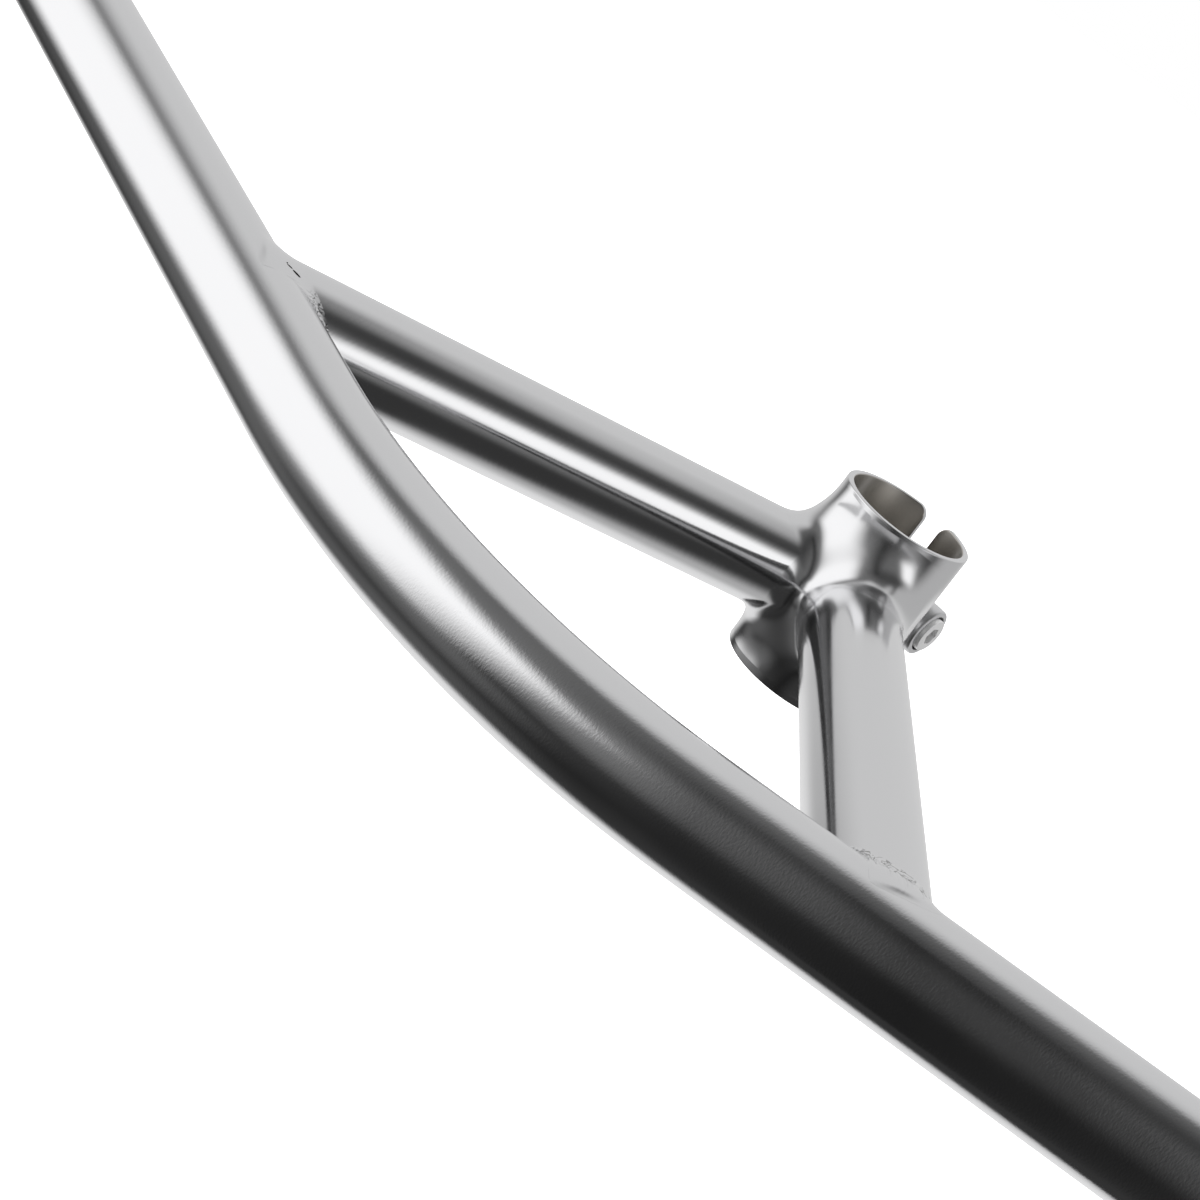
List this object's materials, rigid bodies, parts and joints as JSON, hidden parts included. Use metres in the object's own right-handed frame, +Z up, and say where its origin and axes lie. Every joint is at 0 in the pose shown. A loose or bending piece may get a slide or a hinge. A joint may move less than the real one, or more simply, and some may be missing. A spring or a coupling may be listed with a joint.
{
  "type": "bullmoose handlebar",
  "caption": "Swept bullmoose bicycle handlebar: brazed extension tubes run back from the bar to a slotted collar that clamps on a threadless steerer.",
  "frame": {"origin": "on the axis of the steerer collar, halfway up it and level with the extension tubes", "axes": "+Z up the steerer, -Y forward from the collar to the bar, +Y back to the rider, +X to the right of someone who faces the bar from the front"},
  "size_m": [0.7564, 0.1802, 0.0518],
  "materials": {
    "bar": "polished",
    "tubes": "polished",
    "collar": "polished",
    "fillets": "polished",
    "welds": "rippled and plated",
    "bolt": "satin"
  },
  "bodies": {
    "root": {"bar_tube": "bar", "left_extension_tube": "tubes", "right_extension_tube": "tubes", "steerer_clamp": "collar", "left_collar_fillet": "fillets", "right_collar_fillet": "fillets", "left_bar_weld": "welds", "right_bar_weld": "welds", "clamp_bolt": "bolt"}
  },
  "joints": []
}
